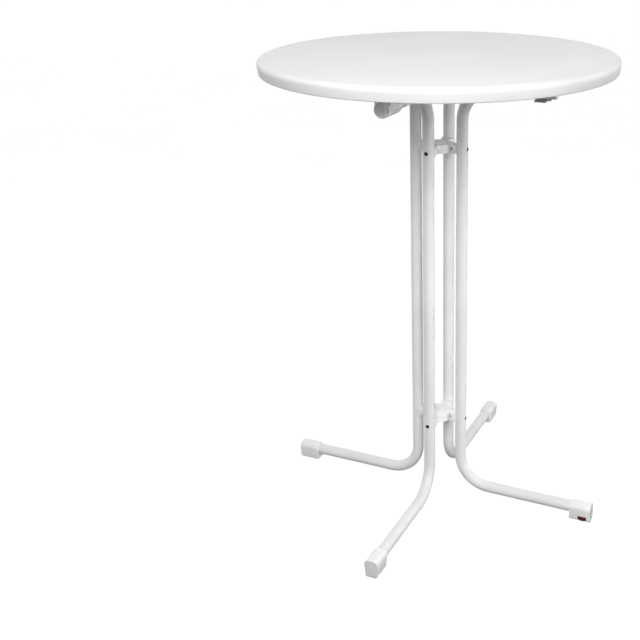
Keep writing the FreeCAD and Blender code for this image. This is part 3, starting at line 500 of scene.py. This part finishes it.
# %% Window for the levelling wheel
STUD = 0.377
WELL, WELL_DEPTH, WELL_Z = 0.0176, 0.0262, -0.0006
WINDOW_WIDTH, WINDOW_REACH = 0.021, 0.05
well = disc("well", 64, WELL, WELL_DEPTH, (STUD, 0, WELL_Z))
bpy.ops.object.select_all(action="DESELECT")
bpy.ops.mesh.primitive_cube_add(
    size=1, location=(STUD, 0, WELL_Z), scale=(WINDOW_WIDTH, WINDOW_REACH, WELL_DEPTH)
)
window = started("window")
carved(caps["right"], well, window)
smoothed(caps["right"])
for side, shell in caps.items():
    fitted(shell, "plastic_white", BODY_OF[side], f"foot_cap_{side}")

# %% [markdown]
# The levelling wheel is a thick dark red disc with finger grooves, on a short stud. The grooves are
# made by drawing every fourth edge of a cylinder in towards the middle. Two insets dish its faces,
# and its rims are eased.

# %% Levelling wheel
WHEEL, WHEEL_THICK, WHEEL_Z = 0.017, 0.0088, 0.0066
GROOVE_EVERY, GROOVE_SHARE = 22.5, 0.93
DISH_BORDER, DISH_SLOPE, DISH_SHARE = 0.0022, 0.006, 0.75
RIM_FROM, RIM_EDGE = 0.0152, 0.0007
wheel = disc("levelling_wheel", 64, WHEEL, WHEEL_THICK, (STUD, 0, WHEEL_Z))
edit(wheel)


def from_stud(p):
    return math.hypot(p.x - STUD, p.y)


def in_groove(p):
    angle = math.degrees(math.atan2(p.y, p.x - STUD)) % GROOVE_EVERY
    return min(angle, GROOVE_EVERY - angle) < 1.0


def on_rim(p):
    return abs(abs(p.z - WHEEL_Z) - WHEEL_THICK / 2) < NEAR and from_stud(p) > RIM_FROM


pick("VERT", in_groove)
bpy.ops.transform.resize(value=(GROOVE_SHARE, GROOVE_SHARE, 1.0), center_override=(STUD, 0, 0))
pick("FACE", lambda p: from_stud(p) < NEAR)
bpy.ops.mesh.inset(thickness=DISH_BORDER)
bpy.ops.mesh.inset(thickness=DISH_SLOPE)
bpy.ops.transform.resize(value=(1, 1, DISH_SHARE), center_override=(STUD, 0, WHEEL_Z))
eased(on_rim, RIM_EDGE, 2)
closed(wheel, 30)
fitted(wheel, "wheel_red", "level_wheel", "level_wheel")

# %% [markdown]
# Two plastic arms cross at each connector and turn about a bolt. Their form is set by how they pass
# each other, so a copy of the solid is used: its loose triangles are merged, flat areas are cleaned,
# and the mould's soft edges are added with a bevel on the sharp edges only. The hinge collars and
# the two pieces of the catch are made the same way.

# %% Moulded pieces with soft edges
FLAT_ANGLE, SHARP_ANGLE = math.radians(1.5), math.radians(35)
MOULD_EDGE, COLLAR_EDGE = 0.0006, 0.001


def moulded(node, name, edge=MOULD_EDGE):
    """A merged copy of a solid, with its sharp edges eased."""
    alone(frame["nodes"][node])
    bpy.ops.object.duplicate(linked=False)
    piece = bpy.context.object
    piece.parent = None
    for key in [key for key in piece.keys() if key.startswith("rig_")]:
        del piece[key]
    started(name)
    edit(piece)
    bpy.ops.mesh.remove_doubles(threshold=MERGE)
    bpy.ops.mesh.dissolve_limited(angle_limit=FLAT_ANGLE)
    bpy.ops.object.mode_set(mode="OBJECT")
    with_modifier(
        piece, "BEVEL", width=edge, segments=2, limit_method="ANGLE", angle_limit=SHARP_ANGLE,
        use_clamp_overlap=True,
    )
    return smoothed(piece)


for level in ("upper", "lower"):
    for half, body in (("fixed", "main_frame"), ("swing", "swing_frame")):
        arm = moulded(f"{level}_{half}_arm", f"{level}_{half}_connector")
        fitted(arm, "plastic_white", body, f"{level}_{half}_arm")
for side in ("front", "back"):
    collar = moulded(f"hinge_bracket_{side}", f"hinge_collar_{side}", COLLAR_EDGE)
    fitted(collar, "plastic_white", "tabletop", f"hinge_bracket_{side}")
housing = moulded("catch_housing", "catch_plate")
fitted(housing, "plastic_grey", "tabletop", "catch_housing")
hook = moulded("catch_hook", "catch_jaw")
fitted(hook, "catch_dark", "catch", "catch_hook")

# %% [markdown]
# Black socket screws hold the tubes to the connectors. Their low heads follow the round of the tube,
# so they hardly show from the side: a disc is cut down with a cylinder a little larger than the
# tube. A plain shank is pulled from its back and a six-sided socket sunk into its face. The posts
# stand at two distances from the middle, so there are two lengths; each is made once and copied.

# %% Tube screws
UPPER, LOWER = 0.890, 0.207
HEAD, HEAD_DEPTH, HEAD_PROUD = 0.0045, 0.0036, 0.0004
SHANK_BORDER, SHANK_END = 0.002, 0.031
SOCKET, SOCKET_DEPTH, SOCKET_OUT = 0.0022, 0.003, 0.0016
WRAP_HEIGHT = 0.03


def tube_screw(name, post):
    """A screw for the right-hand side, at height zero, with its head on the outside of the tube."""
    seat = post + TUBE
    back = seat - HEAD_DEPTH / 2
    wrap = disc("tube_wrap", 128, TUBE + HEAD_PROUD, WRAP_HEIGHT, (post, 0, 0))
    screw = disc(name, 40, HEAD, HEAD_DEPTH, (seat, 0, 0), lying=True)
    carved(screw, wrap, operation="INTERSECT")
    edit(screw)
    pick("FACE", lambda p: p.x < back + NEAR and math.hypot(p.y, p.z) < NEAR)
    bpy.ops.mesh.inset(thickness=SHANK_BORDER)
    pull(x=SHANK_END - back)
    closed(screw)
    carved(screw, disc("socket", 6, SOCKET, SOCKET_DEPTH, (seat + SOCKET_OUT, 0, 0), lying=True))
    return smoothed(screw)


screws = {
    "main_frame": tube_screw("fixed_screw", FIXED_POST),
    "swing_frame": tube_screw("swing_screw", SWING_POST),
}
screw_nodes = {"main_frame": "fixed_tube_screws", "swing_frame": "swing_tube_screws"}
for level, height in (("upper", UPPER), ("lower", LOWER)):
    for side, turn in (("front", FRONT), ("back", BACK), ("left", LEFT), ("right", RIGHT)):
        body = BODY_OF[side]
        screw = copied(screws[body], f"tube_screw_{level}_{side}", turn, (0, 0, height))
        fitted(screw, "screw_black", body, screw_nodes[body])
for screw in screws.values():
    bpy.data.objects.remove(screw)

# %% [markdown]
# A white cap closes the recess over each pivot bolt, so a connector looks plain from above. It is a
# low disc with a soft rim and a shallow dish, and a thin skirt below that sits in the recess. Every
# step is an inset and a pull on the disc's two faces.

# %% Pivot caps
PIVOT_CAP, PIVOT_LOW, PIVOT_HIGH = 0.016, 0.0101, 0.0127
PIVOT_EDGE = 0.0014
HOLLOW_BORDER, HOLLOW_SLOPE, HOLLOW_DEPTH = 0.004, 0.003, 0.0003
SKIRT_IN, SKIRT_WALL, SKIRT_DEPTH = 0.0021, 0.0015, 0.0043
BOLT_BORDER, BOLT_ROOM = 0.0051, 0.0005
pivot_middle = (0, 0, (PIVOT_LOW + PIVOT_HIGH) / 2)
pivot_cap = disc("pivot_cap", 64, PIVOT_CAP, PIVOT_HIGH - PIVOT_LOW, pivot_middle)
edit(pivot_cap)
eased(lambda p: p.z > PIVOT_HIGH - NEAR, PIVOT_EDGE, 4)
pick("FACE", lambda p: p.z > PIVOT_HIGH - NEAR and p.xy.length < NEAR)
bpy.ops.mesh.inset(thickness=HOLLOW_BORDER)
bpy.ops.mesh.inset(thickness=HOLLOW_SLOPE)
bpy.ops.transform.translate(value=(0, 0, -HOLLOW_DEPTH))
pick("FACE", lambda p: p.z < PIVOT_LOW + NEAR and p.xy.length < NEAR)
bpy.ops.mesh.inset(thickness=SKIRT_IN)
pull(z=-SKIRT_DEPTH)
bpy.ops.mesh.inset(thickness=SKIRT_WALL)
pull(z=SKIRT_DEPTH)
bpy.ops.mesh.inset(thickness=BOLT_BORDER)
pull(z=BOLT_ROOM)
closed(pivot_cap)
for level, height in (("upper", UPPER), ("lower", LOWER)):
    twin = copied(pivot_cap, f"pivot_cap_{level}", move=(0, 0, height))
    fitted(twin, "plastic_white", "swing_frame", "pivot_caps")
bpy.data.objects.remove(pivot_cap)

# %% [markdown]
# The hinge of the top ends in a round white cap on the arm. Its face has a wide field with a
# straight side, sunk a little, a white rib beside it and a narrow field beyond the rib. Each field
# is cut as a disc with one side taken off by a bisect, and its white floor is painted grey: painted
# shade for the shadow in the sunk field.

# %% Hinge end caps
CAP_FACE, CAP_RADIUS, CAP_EDGE = 0.297, 0.0175, 0.0012
FIELD_RADIUS, FIELD_DEPTH = 0.0152, 0.0014
WIDE_SIDE, NARROW_SIDE = 0.007, 0.0115
cap_middle = ((CAP_FACE + HINGE_ARM_END) / 2, 0, ARM_Z)
hinge_cap = disc("hinge_cap", 64, CAP_RADIUS, CAP_FACE - HINGE_ARM_END, cap_middle, lying=True)
edit(hinge_cap)
eased(lambda p: p.x > CAP_FACE - NEAR, CAP_EDGE, 3)
closed(hinge_cap)


def face_field(name, side_at, keep_left):
    """A disc cutter with one side taken off straight."""
    field = disc(name, 64, FIELD_RADIUS, 2 * FIELD_DEPTH, (CAP_FACE, 0, ARM_Z), lying=True)
    edit(field)
    bpy.ops.mesh.bisect(
        plane_co=(CAP_FACE, side_at, ARM_Z), plane_no=(0, 1, 0), use_fill=True,
        clear_outer=keep_left, clear_inner=not keep_left,
    )
    return closed(field)


wide_field = face_field("wide_field", WIDE_SIDE, keep_left=True)
narrow_field = face_field("narrow_field", NARROW_SIDE, keep_left=False)
carved(hinge_cap, wide_field, narrow_field)
hinge_cap.data.materials.append(FINISHES["plastic_white"])
edit(hinge_cap)
# painted shade: the floors of the sunk fields are white plastic, painted grey for the shadow in them
second_finish(hinge_cap, "painted_shade_grey", lambda p: abs(p.x - CAP_FACE + FIELD_DEPTH) < NEAR)
closed(hinge_cap)
for side, turn in (("front", FRONT), ("back", BACK)):
    end = copied(hinge_cap, f"hinge_cap_{side}", turn)
    fitted(end, "plastic_white", "main_frame", f"hinge_end_cap_{side}")
bpy.data.objects.remove(hinge_cap)

# %% [markdown]
# Small turned plugs close the open tube ends: one on top of the straight left post and one at the
# end of the right arm. Each is a short disc with an eased rim and a stem inside the tube.

# %% Tube plugs
PLUG, PLUG_EDGE = 0.0025, 0.0014
STEM_BORDER, STEM = 0.0016, 0.016
plug = disc("tube_plug", TUBE_SIDES, TUBE, PLUG, (0, 0, PLUG / 2))
edit(plug)
eased(lambda p: p.z > PLUG - NEAR, PLUG_EDGE, 4)
pick("FACE", lambda p: p.z < NEAR and p.xy.length < NEAR)
bpy.ops.mesh.inset(thickness=STEM_BORDER)
pull(z=-STEM)
closed(plug)
left_plug = copied(plug, "left_post_cap", move=(-SWING_POST, 0, LEFT_POST_TOP))
alone(plug)
plug.rotation_euler = (0, QUARTER, 0)
plug.location = (RIGHT_ARM_END, 0, ARM_Z)
right_plug = started("right_arm_cap")
fitted(left_plug, "plastic_white", "swing_frame", "left_post_plug")
fitted(right_plug, "plastic_white", "swing_frame", "right_arm_plug")

# %% [markdown]
# The catch has a small coil spring round its pin, which presses the jaw to the arm. A ring of wire
# is wound with a Screw modifier, four turns, and the modifier is applied.

# %% Catch spring
PIN_Y, PIN_Z = 0.01635, 1.049
WIRE, COIL, PITCH, TURNS = 0.0006, 0.00345, 0.0018, 4
WIRE_SIDES, TURN_STEPS = 14, 32
spring_low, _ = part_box("catch_spring")
bpy.ops.object.select_all(action="DESELECT")
bpy.ops.mesh.primitive_circle_add(
    vertices=WIRE_SIDES, radius=WIRE, fill_type="NOTHING", location=(0, COIL, 0),
    rotation=(QUARTER, 0, QUARTER),
)
spring = started("catch_coil")
with_modifier(
    spring, "SCREW", axis="X", angle=2 * math.pi, screw_offset=PITCH, iterations=TURNS,
    steps=TURN_STEPS, render_steps=TURN_STEPS, use_merge_vertices=True,
)
edit(spring)
bpy.ops.mesh.fill_holes(sides=0)
closed(spring, 60)
spring.location = (spring_low.x + WIRE, PIN_Y, PIN_Z)
bpy.ops.object.transform_apply(location=True, rotation=True, scale=True)
fitted(spring, "steel", "tabletop", "catch_spring")

# %% [markdown]
# What is left are small hard pieces whose solids are right as they are: bolts, washers, nuts, pins,
# bushes and pads. They keep their solids and get the finish that the record names for them.

# %% Finishes of the remaining pieces
slots = {row["node"]: row["material_slot"] for row in frame["record"]["subparts"]}
kept = [name for name, solid in frame["nodes"].items() if not solid.hide_render]
for name in kept:
    solid = frame["nodes"][name]
    solid.data.materials.clear()
    solid.data.materials.append(FINISHES[slots[name]])
print("kept solids:", ", ".join(kept))
